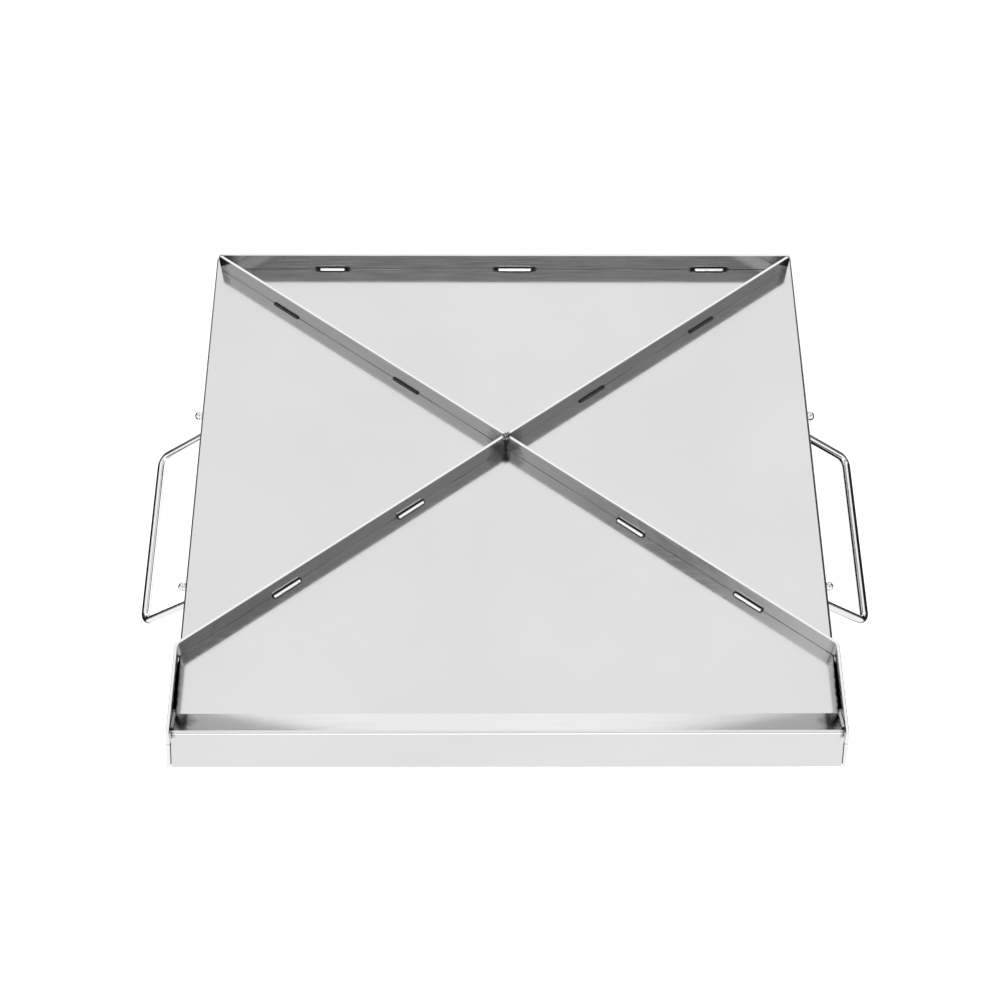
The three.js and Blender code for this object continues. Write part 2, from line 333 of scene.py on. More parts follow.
def pan():
    """The bent sheet with its thickness, rounded edges and the four holes for the pins."""
    obj = pan_surface()
    thick = obj.modifiers.new("sheet", "SOLIDIFY")
    thick.thickness = SHEET
    thick.offset = 0
    thick.use_even_offset = True
    cutters = []
    pin_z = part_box("handle_right")[1].z - WIRE_RADIUS
    for side in HANDS.values():
        for y in pin_rows():
            bpy.ops.mesh.primitive_cylinder_add(
                vertices=HOLE_SIDES,
                radius=HOLE_RADIUS,
                depth=HOLE_CUTTER_LENGTH,
                location=(side * wall_outer(pin_z), y, pin_z),
                rotation=(0, math.pi / 2, 0),
            )
            cutter = bpy.context.object
            cutters.append(cutter)
            cut = obj.modifiers.new("hole", "BOOLEAN")
            cut.operation = "DIFFERENCE"
            cut.solver = "EXACT"
            cut.object = cutter
    soften_edges(obj)
    apply_modifiers(obj)
    for cutter in cutters:
        bpy.data.objects.remove(cutter)
    return obj


def pin_rows():
    """How far back each handle's two pins lie."""
    low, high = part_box("handle_right")
    return low.y + WIRE_RADIUS, high.y - WIRE_RADIUS


def swept_wire(name, stations, radius, head_radius):
    """A round wire along the stations, with a swollen, domed head at each end."""
    sides = WIRE_SIDES
    rings = []
    (start, first), (end, last) = stations[0], stations[-1]
    tips = [math.pi / 2 * step / PIN_DOME_STEPS for step in range(1, PIN_DOME_STEPS + 1)]
    for tip in tips:
        centre = start - first * radius * math.cos(tip)
        rings.append((centre, first, head_radius * math.sin(tip)))
    for depth, share in reversed(PIN_SWELL):
        rings.append((start + first * depth, first, radius + (head_radius - radius) * share))
    rings.append((start + first * PIN_NECK, first, radius))
    rings += [(point, heading, radius) for point, heading in stations[1:-1]]
    rings.append((end - last * PIN_NECK, last, radius))
    for depth, share in PIN_SWELL:
        rings.append((end - last * depth, last, radius + (head_radius - radius) * share))
    for tip in reversed(tips):
        centre = end + last * radius * math.cos(tip)
        rings.append((centre, last, head_radius * math.sin(tip)))
    side = first.orthogonal().normalized()
    verts = [start - first * radius]
    for point, heading, size in rings:
        side = (side - heading * side.dot(heading)).normalized()
        other = heading.cross(side)
        for k in range(sides):
            angle = 2 * math.pi * k / sides
            verts.append(point + (side * math.cos(angle) + other * math.sin(angle)) * size)
    verts.append(end + last * radius)
    faces = []
    for k in range(sides):
        follow = (k + 1) % sides
        faces.append((0, 1 + follow, 1 + k))
        for ring in range(len(rings) - 1):
            base = 1 + ring * sides
            faces.append((base + k, base + follow, base + sides + follow, base + sides + k))
        base = 1 + (len(rings) - 1) * sides
        faces.append((base + k, base + follow, len(verts) - 1))
    return new_object(name, verts, faces)


def handle(hand):
    """One bent wire: pin, leg down inside the wall, leg out under the rim, and the grip."""
    side = HANDS[hand]
    low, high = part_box("handle_right")
    pin_z = high.z - WIRE_RADIUS
    grip = Vector((high.x - WIRE_RADIUS, 0, low.z + WIRE_RADIUS))
    centre_y = (low.y + high.y) / 2
    pin_span = high.y - low.y - 2 * WIRE_RADIUS
    clear = WIRE_RADIUS + GAP
    corner = Vector((wall_inner(pin_z) - clear / math.cos(FLARE), 0, pin_z))
    tip = Vector((wall_outer(pin_z) + PIN_PROUD - WIRE_RADIUS, 0, pin_z))
    down = Vector((math.sin(FLARE), 0, -math.cos(FLARE)))
    rim = Vector((RIM_X, 0, RIM_Z))
    to_rim = grip - rim
    slope = math.atan2(-to_rim.z, to_rim.x) - math.asin(clear / to_rim.length)
    out = Vector((math.cos(slope), 0, -math.sin(slope)))
    below = rim + Vector((-math.sin(slope), 0, -math.cos(slope))) * clear
    below.z -= KNEE_DROP
    gap = below - corner
    run = (gap.x * out.z - gap.z * out.x) / (down.x * out.z - down.z * out.x)
    knee = corner + down * run
    at_knee = run / (run + (grip - knee).length)

    def leg(end):
        places = []
        for p, share in ((tip, 0), (corner, 0), (knee, at_knee), (grip, 1)):
            span = pin_span + share * (GRIP_SPAN - pin_span)
            places.append(
                Vector((side * p.x, centre_y + share * GRIP_SHIFT + end * span / 2, p.z))
            )
        return places

    radii = [PIN_BEND, RIM_BEND, GRIP_BEND, GRIP_BEND, RIM_BEND, PIN_BEND]
    stations = rounded_path([*leg(1), *reversed(leg(-1))], radii, WIRE_BEND_STEPS)
    return swept_wire(f"wire_handle_{hand}", stations, WIRE_RADIUS, PIN_HEAD_RADIUS)


def mark_grain(obj, run_at):
    """Stores where each vertex lies along its bar, and how high, for the rolled grain."""
    grain = obj.data.attributes.new("grain", "FLOAT_VECTOR", "POINT")
    values = []
    for vertex in obj.data.vertices:
        values += [run_at(vertex.co), vertex.co.z, 0.0]
    grain.data.foreach_set("vector", values)


def arm_direction(row, side):
    """From the hub to an arm's outer end, in plan."""
    if row == "rear":
        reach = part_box("rear_right_arm")[1]
        return Vector((side * reach.x, brace_low.y - HUB_Y, 0)).normalized()
    return Vector((side * END_TOP_X, -FRONT_ARM_FALL, 0)).normalized()


def front_bar(hand):
    """A front arm, its rounded turn at the plate's edge and the plate that closes the trough."""
    side = HANDS[hand]
    along = arm_direction("front", side)
    corner_y = HUB_Y - FRONT_ARM_FALL
    bent = rounded_path(
        [
            Vector((0, HUB_Y, 0)),
            Vector((side * END_TOP_X, corner_y, 0)),
            Vector((side * END_TOP_X, FRONT_Y, 0)),
        ],
        [FRONT_ARM_BEND],
        FRONT_ARM_BEND_STEPS,
    )
    half = BAR / 2
    fall = math.atan2(-along.y, abs(along.x))
    # The inner end is cut along the middle lines of the crossing
    cut_above = (half * math.cos(fall) + GAP / 2) / math.sin(fall)
    cut_below = (half * math.sin(fall) + GAP / 2) / math.cos(fall)
    plan = []
    for i, (spot, heading) in enumerate(bent):
        outward = Vector((-heading.y, heading.x, 0)) * side
        above = spot + outward * half
        below = spot - outward * half
        if i == 0:
            above += along * cut_above
            below += along * cut_below
        # The arm is upright; the end plate leans in from the rim, as the side walls do
        lean = max(0, min(i - 1, FRONT_ARM_BEND_STEPS)) / FRONT_ARM_BEND_STEPS
        plan.append((above, below, lean))
    above, below, _ = plan[-1]
    plan.insert(-1, (
        Vector((above.x, END_BACK_Y, 0)), Vector((below.x, END_BACK_Y, 0)), 1.0
    ))
    plate_start = len(plan) - 2
    verts = []
    faces = []
    levels = (RIDGE_Z, PLATE_Z + GAP, RIM_Z)
    lap = end_inner(PLATE_Z) - wall_outer(PLATE_Z) - WALL_CONTACT
    for above, below, lean in plan:
        for z in levels:
            shift = Vector((side * (RIDGE_Z - z) * math.tan(FLARE) * lean, 0, z))
            # Below its top the end plate reaches in to the side wall that it laps
            reach_in = lap * lean if z < RIDGE_Z else 0
            verts += [above + shift, below + shift - side * reach_in * AXIS_X]
    row = 2 * len(levels)
    for i in range(len(plan) - 1):
        a, b = i * row, (i + 1) * row
        bottom = 4 if i >= plate_start else 2
        for level in range(0, bottom, 2):
            for face in (0, 1):
                k = level + face
                faces.append((a + k, b + k, b + k + 2, a + k + 2))
        faces.append((a, a + 1, b + 1, b))
        faces.append((a + bottom, a + bottom + 1, b + bottom + 1, b + bottom))
    a = plate_start * row
    b = (len(plan) - 1) * row
    faces.append((0, 1, 3, 2))
    faces.append((a + 2, a + 3, a + 5, a + 4))
    faces.append((b, b + 1, b + 3, b + 2))
    faces.append((b + 2, b + 3, b + 5, b + 4))
    used = sorted({index for face in faces for index in face})
    renumbered = {index: k for k, index in enumerate(used)}
    obj = new_object(
        f"bar_front_{hand}",
        [verts[index] for index in used],
        [tuple(renumbered[index] for index in face) for face in faces],
    )
    soften_edges(obj)
    apply_modifiers(obj)
    arm_length = END_TOP_X / abs(along.x)

    def run_at(p):
        """How far along the bar a point lies, from the hub."""
        if p.y > corner_y:
            return p.dot(along)
        return arm_length + corner_y - p.y

    mark_grain(obj, run_at)
    return obj


def clamped(value):
    return min(1.0, max(0.0, value))


def hub_knot():
    """The lumpy spot of weld that fills the top of the crossing."""
    shell = bmesh.new()
    bmesh.ops.create_icosphere(shell, subdivisions=KNOT_DETAIL, radius=1.0)
    centre = Vector((0, HUB_Y - KNOT_FORWARD, RIDGE_Z - KNOT_SINK))
    seed = Vector((4, 1, 7))
    for vertex in shell.verts:
        p = vertex.co.copy()
        lump = 1 + KNOT_LUMPS * noise.noise(p * KNOT_LUMP_SCALE + seed)
        vertex.co = centre + p * KNOT_SIZE * lump
        vertex.co.z = min(vertex.co.z, RIDGE_Z)
    mesh = bpy.data.meshes.new("bead_hub_knot")
    shell.to_mesh(mesh)
    shell.free()
    toe = mesh.attributes.new("toe", "FLOAT", "POINT")
    toe.data.foreach_set("value", [
        clamped(KNOT_MOTTLE_CONTRAST * noise.noise(v.co * KNOT_MOTTLE_SCALE) + 0.5)
        for v in mesh.vertices
    ])
    return placed("bead_hub_knot", mesh)


def bead(name, stations, across, up_at, leg):
    """A rippled fillet bead along the stations, in the corner between two faces.

    Its attribute "toe" is 1 along the bead's two edges and at its ends, and 0 on its crown.
    """
    points = [stations[0][0]]
    ups = [up_at(stations[0][1])]
    step_length = RIPPLE_PITCH / RIPPLE_STEPS
    for (a, heading_a), (b, heading_b) in zip(stations, stations[1:]):
        count = max(1, round((b - a).length / step_length))
        for k in range(1, count + 1):
            share = k / count
            points.append(a.lerp(b, share))
            ups.append(up_at(heading_a.lerp(heading_b, share).normalized()))
    travelled = [0.0]
    for a, b in zip(points, points[1:]):
        travelled.append(travelled[-1] + (b - a).length)
    length = travelled[-1]
    # Every bead wanders in its own way, which depends on where it starts
    seed = Vector((points[0].x * 90, points[0].y * 70, 3.0))
    verts = []
    toes = []
    for point, up, along in zip(points, ups, travelled):
        to_end = min(along, length - along)
        rounding = 1 - max(0.0, 1 - to_end / (BEAD_TAPER * leg)) ** 2
        taper = math.sqrt(max(BEAD_LEAST_TAPER, rounding))
        wander = 1 + BEAD_WANDER * noise.noise(
            seed + Vector((along / BEAD_WANDER_LENGTH, 0, 0))
        )
        dark_outline_end = 1 - clamped((to_end - OUTLINE_END) / MM)
        verts.append(point)
        toes.append(1.0)
        for k in range(BEAD_ARC_STEPS + 1):
            share = k / BEAD_ARC_STEPS
            angle = math.pi / 2 * share
            crown = math.sin(math.pi * share)
            phase = (along + RIPPLE_CURVE * RIPPLE_PITCH * crown) / RIPPLE_PITCH
            ripple = RIPPLE_HEIGHT * crown * abs(math.sin(math.pi * phase))
            size = leg * taper * wander * (1 - BEAD_HOLLOW * crown + ripple)
            verts.append(point + (across * math.cos(angle) + up * math.sin(angle)) * size)
            outline = 1 - clamped((crown - OUTLINE_START) / OUTLINE_FADE)
            toes.append(max(outline, dark_outline_end))
    row = BEAD_ARC_STEPS + 2
    faces = []
    for i in range(len(points) - 1):
        for k in range(row):
            follow = (k + 1) % row
            a, b = i * row + k, i * row + follow
            faces.append((a, b, b + row, a + row))
    faces.append(tuple(range(row)))
    faces.append(tuple(range((len(points) - 1) * row, len(points) * row)))
    mesh = bpy.data.meshes.new(name)
    mesh.from_pydata([tuple(v) for v in verts], [], faces)
    toe = mesh.attributes.new("toe", "FLOAT", "POINT")
    toe.data.foreach_set("value", toes)
    shell = bmesh.new()
    shell.from_mesh(mesh)
    bmesh.ops.recalc_face_normals(shell, faces=shell.faces)
    shell.to_mesh(mesh)
    shell.free()
    return placed(name, mesh)


def straight_bead(node, along, across, up, leg):
    """A bead in the corner that a CAD weld lies in, as long as that weld."""
    corners = [v.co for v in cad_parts[node].data.vertices]

    def extent(direction):
        places = [p.dot(direction) for p in corners]
        return min(places), max(places)

    start, end = extent(along)
    origin = across * (extent(across)[0] - GAP) + up * (extent(up)[0] - GAP)
    stations = [(origin + along * start, along), (origin + along * end, along)]
    return bead(f"bead_{node}", stations, across, lambda heading: up, leg)


# ---------------------------------------------------------------- materials


def grey(level):
    return (level, level, level)


# Base colours, dark and light, between which the clean metals vary
SHEET_TONES = ((0.72, 0.72, 0.722), (0.76, 0.76, 0.762))
BAR_TONES = ((0.56, 0.56, 0.562), (0.7, 0.7, 0.702))
WIRE_TONES = (grey(0.85), grey(0.9))

# Base colours of painted shade on the sheet and on the bars, of deeper painted shade, of
# near-black spots that are partly painted shade, of black, and of the painted highlight on edges
SHEET_PAINTED_SHADE = grey(0.4)
BAR_PAINTED_SHADE = grey(0.42)
DEEP_PAINTED_SHADE = grey(0.3)
NEAR_BLACK = grey(0.03)
BLACK = grey(0.02)
PAINTED_EDGE_HIGHLIGHT = grey(0.9)

# Painted shade: the dark line in the corner between a bar and the plate
FOOT_SHADE_STRENGTH = 0.85
FOOT_SHADE_HEIGHTS = (PLATE_Z + 0.4 * MM, PLATE_Z + 0.9 * MM)

# The end plates' front edges get a painted highlight, and their inner faces just behind them are
# painted black as shade
FRONT_EDGE = 0.6 * MM
PAINTED_SHADE_LIP = 5 * MM


def new_metal(name):
    """A metallic material, with its node tree and its shader."""
    material = bpy.data.materials.new(name)
    material.use_nodes = True
    tree = material.node_tree
    shader = tree.nodes["Principled BSDF"]
    shader.inputs["Metallic"].default_value = 1
    return material, tree, shader


def add_noise(tree, scale, detail, stretch=(1, 1, 1)):
    """Noise in the object's own metres; stretch divides the frequency along each axis."""
    place = tree.nodes.new("ShaderNodeTexCoord")
    mapping = tree.nodes.new("ShaderNodeMapping")
    mapping.inputs["Scale"].default_value = stretch
    tree.links.new(place.outputs["Object"], mapping.inputs["Vector"])
    texture = tree.nodes.new("ShaderNodeTexNoise")
    texture.inputs["Scale"].default_value = scale
    texture.inputs["Detail"].default_value = detail
    tree.links.new(mapping.outputs["Vector"], texture.inputs["Vector"])
    return texture.outputs["Fac"]


def add_range(tree, value, low, high, source=(0.3, 0.7)):
    """Maps a value from the source range, or from a noise's usual one, to low..high."""
    ranged = tree.nodes.new("ShaderNodeMapRange")
    ranged.inputs["From Min"].default_value = source[0]
    ranged.inputs["From Max"].default_value = source[1]
    ranged.inputs["To Min"].default_value = low
    ranged.inputs["To Max"].default_value = high
    tree.links.new(value, ranged.inputs["Value"])
    return ranged.outputs["Result"]


def add_mix(tree, factor, first, second):
    """Mixes two colours; each is a colour or a socket."""
    mix = tree.nodes.new("ShaderNodeMix")
    mix.data_type = "RGBA"
    tree.links.new(factor, mix.inputs["Factor"])
    for slot, value in (("A", first), ("B", second)):
        sockets = [s for s in mix.inputs if s.name == slot and s.type == "RGBA"]
        if isinstance(value, bpy.types.NodeSocket):
            tree.links.new(value, sockets[0])
        else:
            sockets[0].default_value = (*value, 1)
    return next(s for s in mix.outputs if s.type == "RGBA")


def add_bump(tree, shader, height, strength, distance):
    """Raises the shader's surface by a height."""
    bump = tree.nodes.new("ShaderNodeBump")
    bump.inputs["Strength"].default_value = strength
    bump.inputs["Distance"].default_value = distance
    tree.links.new(height, bump.inputs["Height"])
    tree.links.new(bump.outputs["Normal"], shader.inputs["Normal"])


def add_maths(tree, operation, first, second):
    """A Math node; each operand is a number or a socket."""
    node = tree.nodes.new("ShaderNodeMath")
    node.operation = operation
    for socket, value in zip(node.inputs, (first, second)):
        if isinstance(value, bpy.types.NodeSocket):
            tree.links.new(value, socket)
        else:
            socket.default_value = value
    return node.outputs["Value"]


# A spot fades between these shares of its half sizes, which the speckle shifts
SPOT_EDGE = (0.7, 1.35)
SPOT_RAGGED = (-0.16, 0.22)
SPOT_SPECKLE = 260


def add_spot(tree, centre, size, ragged):
    """1 at a spot on the object, fading to 0 at its ragged edge."""
    place = tree.nodes.new("ShaderNodeTexCoord")
    mapping = tree.nodes.new("ShaderNodeMapping")
    mapping.vector_type = "TEXTURE"
    mapping.inputs["Location"].default_value = centre
    mapping.inputs["Scale"].default_value = size
    tree.links.new(place.outputs["Object"], mapping.inputs["Vector"])
    length = tree.nodes.new("ShaderNodeVectorMath")
    length.operation = "LENGTH"
    tree.links.new(mapping.outputs["Vector"], length.inputs[0])
    edge = add_maths(tree, "ADD", length.outputs["Value"], ragged)
    return add_range(tree, edge, 1, 0, SPOT_EDGE)


def add_spots(tree, stains):
    """The strongest of several spots at each point, used for painted shade and dark spots."""
    speckle = add_noise(tree, SPOT_SPECKLE, 3)
    ragged = add_range(tree, speckle, *SPOT_RAGGED)
    total = 0.0
    for centre, size in stains:
        total = add_maths(tree, "MAXIMUM", add_spot(tree, centre, size, ragged), total)
    return total


def add_grain(tree, scale):
    """Noise stretched along the bar, from its stored grain directions."""
    run = tree.nodes.new("ShaderNodeAttribute")
    run.attribute_name = "grain"
    mapping = tree.nodes.new("ShaderNodeMapping")
    mapping.inputs["Scale"].default_value = (0.03, 1, 1)
    tree.links.new(run.outputs["Vector"], mapping.inputs["Vector"])
    texture = tree.nodes.new("ShaderNodeTexNoise")
    texture.inputs["Scale"].default_value = scale
    texture.inputs["Detail"].default_value = 4
    tree.links.new(mapping.outputs["Vector"], texture.inputs["Vector"])
    return texture.outputs["Fac"]


def sheet_spot_list():
    """Spots of painted shade on the sheet, in front of the crossing and at the ramp's ends, and
    near-black spots, painted shade in the groove along each end plate's foot and a dark spot where
    the ridge meets the end plate: their middles and half sizes.
    """
    # Painted shade on the plate in the corner in front of the crossing
    shade_patches = [((0, HUB_Y - 7 * MM, PLATE_Z), (4 * MM, 7 * MM, 8 * MM))]
    shade_and_dark_spots = []
    for side in HANDS.values():
        ramp_end = (side * (SIDE_X - 2 * MM), RAMP_START - 10 * MM, PLATE_Z + 6 * MM)
        end_plate_seam = (side * (SIDE_X + 0.2 * MM), FRONT_Y + 36 * MM, PLATE_Z)
        ridge_end = (side * END_TOP_X, FRONT_Y + 1 * MM, RIDGE_Z - 2 * MM)
        # Painted shade at the ramp's ends, painted shade in the groove at the end plate's foot,
        # and a dark spot at the ridge's end
        shade_patches.append((ramp_end, (14 * MM, 9 * MM, 13 * MM)))
        shade_and_dark_spots.append((end_plate_seam, (2.6 * MM, 28 * MM, 8 * MM)))
        shade_and_dark_spots.append((ridge_end, (4.5 * MM, 4 * MM, 4 * MM)))
    return shade_patches, shade_and_dark_spots


def sheet_steel():
    """Rolled stainless sheet: a faint cloudy tone, fine grain, painted shade in front of the
    crossing, at the ramp's ends and along the end plates' feet, and a dark spot at each end of the
    ridge.
    """
    material, tree, shader = new_metal("sheet_steel")
    clouds = add_range(tree, add_noise(tree, 9, 5), 0, 1)
    grain = add_noise(tree, 700, 3, (0.05, 1, 1))
    clean = add_mix(tree, clouds, *SHEET_TONES)
    shade_patches, shade_and_dark_spots = sheet_spot_list()
    # Painted shade spots, then near-black spots that are partly painted shade
    patch_shaded = add_mix(tree, add_spots(tree, shade_patches), clean, SHEET_PAINTED_SHADE)
    darkened = add_mix(tree, add_spots(tree, shade_and_dark_spots), patch_shaded, NEAR_BLACK)
    tree.links.new(darkened, shader.inputs["Base Color"])
    tree.links.new(add_range(tree, grain, 0.11, 0.17), shader.inputs["Roughness"])
    add_bump(tree, shader, grain, 0.04, 0.02 * MM)
    return material


def bar_spot_list():
    """Spots on the bars: deeper painted shade at the crossing and the rear brace's ends, painted
    shade on the end plates' inner faces, and near-black spots, painted shade in the groove at the
    end plates' feet and dark spots at the crossing's top and the brace welds' ends: their middles
    and half sizes.
    """
    # Deeper painted shade around the crossing, and a dark spot at its top
    deep_shade_spots = [((0, HUB_Y - 2 * MM, PLATE_Z + 5 * MM), (17 * MM, 11 * MM, 14 * MM))]
    shade_patches = []
    shade_and_dark_spots = [((0.4 * MM, HUB_Y - 1 * MM, RIDGE_Z - 3 * MM), (3 * MM, 3.5 * MM, 7 * MM))]
    for side in HANDS.values():
        # Painted shade on the end plate's inner face and at the brace's end by the rear corner,
        # and in the groove at the end plate's foot
        end_plate = (side * END_TOP_X, FRONT_Y + 26 * MM, PLATE_Z + 6 * MM)
        rear_corner = (side * SIDE_X, brace_low.y, PLATE_Z + 6 * MM)
        end_plate_foot = (side * END_TOP_X, FRONT_Y + 38 * MM, PLATE_Z)
        shade_patches.append((end_plate, (6 * MM, 50 * MM, 22 * MM)))
        deep_shade_spots.append((rear_corner, (16 * MM, 6 * MM, 16 * MM)))
        shade_and_dark_spots.append((end_plate_foot, (5 * MM, 34 * MM, 2.6 * MM)))
    # Dark spots at both ends of each rear brace stitch
    for place in ("left", "middle", "right"):
        low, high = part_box(f"rear_brace_weld_{place}")
        for x in (low.x, high.x):
            shade_and_dark_spots.append(((x, brace_low.y, PLATE_Z + 1.5 * MM), (3 * MM, 3 * MM, 1.6 * MM)))
    return deep_shade_spots, shade_patches, shade_and_dark_spots


def bar_steel():
    """Sheared bar: grain along it, a painted highlight on its top and front edges, painted shade
    at the crossing, rear corners, end plates and feet, and dark spots by the welds.
    """
    material, tree, shader = new_metal("bar_steel")
    grain = add_grain(tree, 900)
    clean = add_mix(tree, add_range(tree, grain, 0, 1), *BAR_TONES)
    deep_shade_spots, shade_patches, shade_and_dark_spots = bar_spot_list()
    # Painted shade: deeper at the crossing and the rear corners, lighter on the end plates' inner
    # faces
    deep_shaded = add_mix(tree, add_spots(tree, deep_shade_spots), clean, DEEP_PAINTED_SHADE)
    patch_shaded = add_mix(tree, add_spots(tree, shade_patches), deep_shaded, BAR_PAINTED_SHADE)
    geometry = tree.nodes.new("ShaderNodeNewGeometry")
    facing = tree.nodes.new("ShaderNodeSeparateXYZ")
    tree.links.new(geometry.outputs["Normal"], facing.inputs["Vector"])
    coordinates = tree.nodes.new("ShaderNodeTexCoord")
    place = tree.nodes.new("ShaderNodeSeparateXYZ")
    tree.links.new(coordinates.outputs["Object"], place.inputs["Vector"])

    def ahead_of(y):
        return add_range(tree, place.outputs["Y"], 1, 0, (y, y + 0.2 * MM))

    # Painted shade, black on the inner faces of the end plates just behind their front edges:
    # there the normal points against the side they are on
    outward = add_maths(tree, "MULTIPLY", place.outputs["X"], facing.outputs["X"])
    inside = add_range(tree, outward, 1, 0, (-0.15, -0.05))
    lip = add_maths(tree, "MULTIPLY", inside, ahead_of(FRONT_Y + PAINTED_SHADE_LIP))
    lipped = add_mix(tree, lip, patch_shaded, BLACK)

    # Painted highlight on the edges: on top of every bar, and at the front of the end plates
    top_edge = add_range(tree, facing.outputs["Z"], 0, 1, (0.9, 0.97))
    bright = add_maths(tree, "MAXIMUM", top_edge, ahead_of(FRONT_Y + FRONT_EDGE))
    edged = add_mix(tree, bright, lipped, PAINTED_EDGE_HIGHLIGHT)

    # The foot line of painted shade runs only over the plate, between its two side walls
    foot = add_range(tree, place.outputs["Z"], FOOT_SHADE_STRENGTH, 0, FOOT_SHADE_HEIGHTS)
    aside = add_maths(tree, "ABSOLUTE", place.outputs["X"], 0.0)
    on_plate = add_range(tree, aside, 1, 0, (SIDE_X - 1 * MM, SIDE_X))
    patchy = add_range(tree, add_noise(tree, 25, 3), 0.2, 1)
    line = add_maths(tree, "MULTIPLY", add_maths(tree, "MULTIPLY", foot, patchy), on_plate)
    foot_shaded = add_mix(tree, line, edged, BLACK)
    # Near-black spots: painted shade in the groove at the end plates' feet, and dark spots at the
    # crossing's top and at the stitches' ends
    darkened = add_mix(tree, add_spots(tree, shade_and_dark_spots), foot_shaded, NEAR_BLACK)
    tree.links.new(darkened, shader.inputs["Base Color"])
    tree.links.new(add_range(tree, grain, 0.12, 0.2), shader.inputs["Roughness"])
    add_bump(tree, shader, grain, 0.06, 0.02 * MM)
    return material


def wire_steel():
    """Drawn and polished wire."""
    material, tree, shader = new_metal("wire_steel")
    clouds = add_range(tree, add_noise(tree, 60, 3), 0, 1)
    tree.links.new(add_mix(tree, clouds, *WIRE_TONES), shader.inputs["Base Color"])
    scuffs = add_noise(tree, 1500, 3, (1, 0.1, 1))
    tree.links.new(add_range(tree, scuffs, 0.03, 0.08), shader.inputs["Roughness"])
    return material


def weld_metal(name, crown):
    """Rippled bead in the given crown colour, with a dark line along its edges."""
    material, tree, shader = new_metal(name)
    edge = tree.nodes.new("ShaderNodeAttribute")
    edge.attribute_name = "toe"
    speckle = add_noise(tree, 900, 3)
    darkened = add_mix(tree, edge.outputs["Fac"], crown, BLACK)
    tree.links.new(darkened, shader.inputs["Base Color"])
    tree.links.new(add_range(tree, speckle, 0.25, 0.4), shader.inputs["Roughness"])
    add_bump(tree, shader, speckle, 0.12, 0.05 * MM)
    return material


SHEET_STEEL = sheet_steel()
BAR_STEEL = bar_steel()
WIRE_STEEL = wire_steel()
# Copies of one weld that differ only in crown colour: bright; grey, painted half shade on the left
# trough bead and the knot's tone; and dark, painted shade on the beads in corners and on the rear
# arms
BRIGHT_WELD = weld_metal("bright_weld", grey(0.97))
GREY_WELD = weld_metal("grey_weld", grey(0.45))
WELD_IN_PAINTED_SHADE = weld_metal("weld_in_painted_shade", grey(0.06))


# ---------------------------------------------------------------- the object


def make_bars():
    """The rear brace and the four arms; the front ones run on as the trough's end plates."""
    brace = refined("rear_brace", "bar_rear_brace")
    mark_grain(brace, lambda p: p.x)
    finished(brace, "griddle", BAR_STEEL, ["rear_brace"])
    for hand, side in HANDS.items():
        along = arm_direction("rear", side)
        node = f"rear_{hand}_arm"
        arm = refined(node, f"bar_rear_{hand}")
        mark_grain(arm, along.dot)
        finished(arm, "griddle", BAR_STEEL, [node])
        finished(front_bar(hand), "griddle", BAR_STEEL,
                 [f"front_{hand}_arm", f"trough_end_plate_{hand}"])


def make_welds():
    """The stitches, the pan's corner beads, the trough's end beads and the crossing's weld."""
    for place in ("left", "middle", "right"):
        node = f"rear_brace_weld_{place}"
        piece = straight_bead(node, AXIS_X, -AXIS_Y, AXIS_Z, BEAD_LEG)
        finished(piece, "griddle", BRIGHT_WELD, [node])
    for hand, side in HANDS.items():
        # The rear arms' beads get the dark copy as painted shade
        for row, material, leg in (
            ("rear", WELD_IN_PAINTED_SHADE, REAR_ARM_BEAD_LEG),
            ("front", BRIGHT_WELD, BEAD_LEG),
        ):
            along = arm_direction(row, side)
            facing = Vector((along.y, -along.x, 0))
            if facing.y > 0:
                facing = -facing
            for place in ("inner", "outer"):
                node = f"{row}_{hand}_arm_weld_{place}"
                piece = straight_bead(node, along, facing, AXIS_Z, leg)
                finished(piece, "griddle", material, [node])
        # The pan's corner beads, in its inside corners, get the dark copy as painted shade
        for row, end in (("rear", 1), ("front", -1)):
            node = f"{row}_{hand}_corner_weld"
            along = Vector((-side * math.sin(FLARE), 0, math.cos(FLARE)))
            across = Vector((-side * math.cos(FLARE), 0, -math.sin(FLARE)))
            piece = straight_bead(node, along, across, -AXIS_Y * end, CORNER_BEAD_LEG)
            finished(piece, "griddle", WELD_IN_PAINTED_SHADE, [node])
        trough_end_bead(hand, side)
    hub_bead()


def trough_end_bead(hand, side):
    """Runs from the plate, up the ramp against the end plate, and over the ridge."""
    ramp, ridge, _ = ridge_path()
    slope = (ridge - ramp).normalized()
    shift = slope.cross(AXIS_X) * SHEET / 2
    foot = ramp + AXIS_Z * SHEET / 2
    top = ramp + shift + slope * ((RIDGE_Z - PLATE_Z) / slope.z)
    corners = [
        Vector((side * end_inner(p.z), p.y, p.z))
        for p in (foot + AXIS_Y * LEAD_IN, foot, top)
    ]
    piece = bead(
        f"bead_trough_end_{hand}",
        rounded_path(corners, [LEAD_IN_BEND]),
        Vector((-side, 0, 0)),
        lambda heading: heading.cross(AXIS_X).normalized(),
        BEAD_LEG,
    )
    for vertex in piece.data.vertices:
        vertex.co.z = min(vertex.co.z, RIDGE_Z)
        vertex.co.y = max(vertex.co.y, FRONT_Y)
    # The left bead gets the grey copy as painted half shade, the right one the bright copy
    material = BRIGHT_WELD if hand == "right" else GREY_WELD
    finished(piece, "griddle", material, [f"trough_end_weld_{hand}"])


